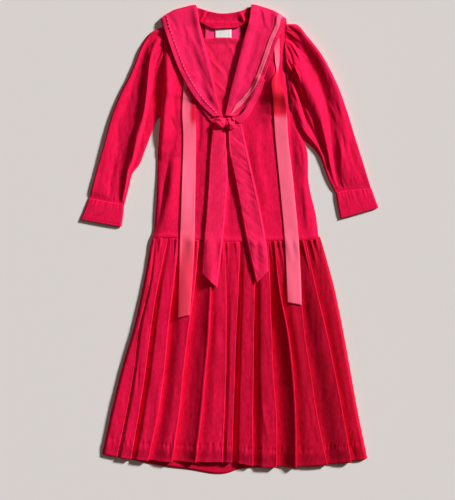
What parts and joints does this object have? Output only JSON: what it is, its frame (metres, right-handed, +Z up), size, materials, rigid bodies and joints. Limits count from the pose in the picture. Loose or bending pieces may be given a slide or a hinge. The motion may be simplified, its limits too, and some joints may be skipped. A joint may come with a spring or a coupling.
{
  "type": "drop-waist sailor-collar dress",
  "caption": "Long-sleeved drop-waist dress laid flat, with a broad sailor collar, a knotted cloth tie, satin streamers and a pleated skirt.",
  "frame": {"origin": "middle of the laid-out dress's outline, on the surface that it lies on", "axes": "+X to the right as the front is seen, +Y from the hem towards the neck, +Z up, out of the front"},
  "size_m": [0.834, 1.3119, 0.0269],
  "materials": {
    "crimson_cloth": "needlecord with a soft short nap",
    "crimson_cloth_inside": "plain wrong side of the needlecord, matte",
    "pink_satin": "smooth satin ribbon, low sheen",
    "white_label": "plain woven label, bare"
  },
  "bodies": {
    "root": {"bodice_back": "crimson_cloth_inside", "skirt_back": "crimson_cloth_inside", "bodice_front": "crimson_cloth", "skirt_front": "crimson_cloth", "sleeve_left": "crimson_cloth", "sleeve_right": "crimson_cloth", "cuff_left": "crimson_cloth", "cuff_right": "crimson_cloth", "sailor_collar": "crimson_cloth", "collar_stand": "crimson_cloth", "dickey": "crimson_cloth", "tie_band_left": "crimson_cloth", "tie_band_right": "crimson_cloth", "tie_tail_left": "crimson_cloth", "tie_tail_right": "crimson_cloth", "tie_knot": "crimson_cloth", "collar_trim": "pink_satin", "neck_facing": "pink_satin", "ribbon_left": "pink_satin", "ribbon_right": "pink_satin", "neck_label": "white_label"}
  },
  "joints": []
}
